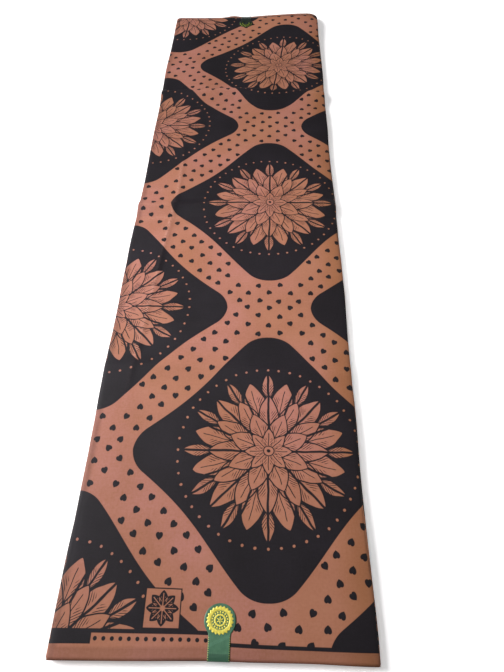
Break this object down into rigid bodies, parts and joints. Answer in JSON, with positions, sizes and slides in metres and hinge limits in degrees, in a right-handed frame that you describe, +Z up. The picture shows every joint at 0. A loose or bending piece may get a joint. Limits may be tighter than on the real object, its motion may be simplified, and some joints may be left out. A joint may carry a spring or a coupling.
{
  "type": "folded wax print fabric",
  "caption": "Length of printed cotton cloth folded lengthwise into a long flat strip, with a ribbon label and round seal at each selvedge.",
  "frame": {"origin": "on the floor, under the middle of the folded strip", "axes": "+X across the strip from its left fold to its right one, +Y along it from the near selvedge to the far one, +Z up"},
  "size_m": [0.3071, 1.1967, 0.0159],
  "materials": {
    "printed_cotton": "waxed cotton with a soft sheen, copper brown with black shapes",
    "printed_cotton_inside": "the same cotton, matter inside the folds",
    "green_ribbon": "satin",
    "yellow_foil": "embossed foil",
    "dark_foil": "embossed foil, dark where it turns away"
  },
  "bodies": {
    "root": {"top_layer": "printed_cotton", "folded_layers": "printed_cotton_inside", "near_label_ribbon": "green_ribbon", "near_label_seal": "yellow_foil", "far_label_ribbon": "green_ribbon", "far_label_seal": "dark_foil"}
  },
  "joints": []
}
